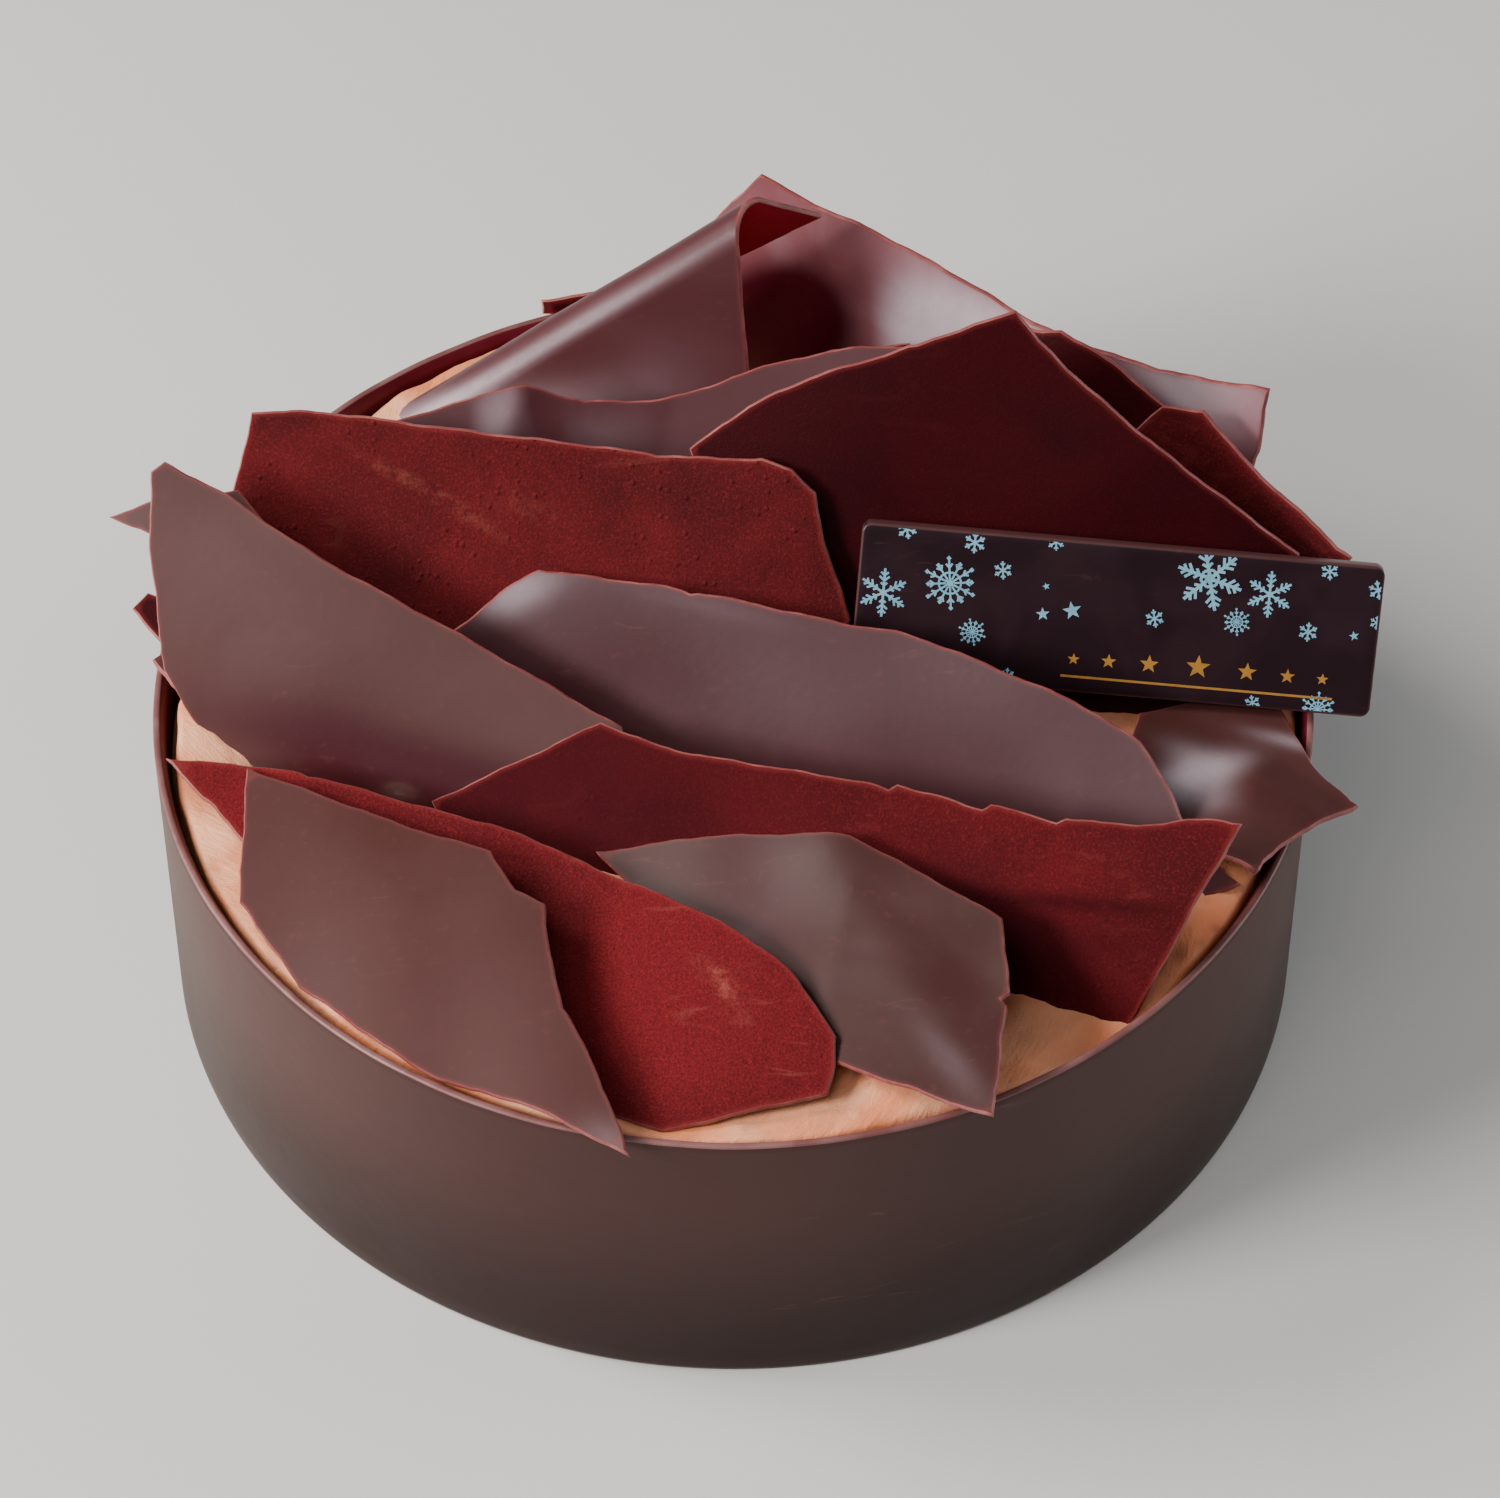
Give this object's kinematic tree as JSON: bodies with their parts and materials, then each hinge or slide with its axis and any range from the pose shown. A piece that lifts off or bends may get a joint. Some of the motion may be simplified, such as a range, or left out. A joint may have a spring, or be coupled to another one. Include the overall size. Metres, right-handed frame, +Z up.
{
  "type": "chocolate cake",
  "caption": "Round chocolate cake in a thin chocolate ring, its cream top crowded with broken brown and red chocolate sheets, one folded over, and a small dark plaque.",
  "frame": {"origin": "centre of the flat underside", "axes": "+Z up, -Y towards the front of the cake, where the lowest sheets lie, +X towards the plaque's overhanging end"},
  "size_m": [0.1644, 0.1527, 0.0878],
  "materials": {
    "ring_chocolate": "satin",
    "brown_chocolate": "satin",
    "red_chocolate": "velvet",
    "cream": "soft",
    "plaque_chocolate": "glossy"
  },
  "bodies": {
    "root": {"ring": "ring_chocolate", "filling": "cream", "front_left_sheet": "brown_chocolate", "front_red_sheet": "red_chocolate", "crumpled_sheet": "brown_chocolate", "creased_red_sheet": "red_chocolate", "tall_left_sheet": "brown_chocolate", "middle_sheet": "brown_chocolate", "left_red_sheet": "red_chocolate", "peak_red_sheet": "red_chocolate", "rear_left_sheet": "brown_chocolate", "rear_red_sliver": "red_chocolate", "rear_red_sheet": "red_chocolate", "right_red_sheet": "red_chocolate", "tall_rear_sheet": "brown_chocolate", "folded_sheet": "brown_chocolate", "right_rim_sheet": "brown_chocolate", "right_small_chip": "brown_chocolate", "left_brown_tip": "brown_chocolate", "left_red_chip": "red_chocolate", "left_brown_chip": "brown_chocolate", "rear_red_chip": "red_chocolate", "plaque": "plaque_chocolate"}
  },
  "joints": []
}
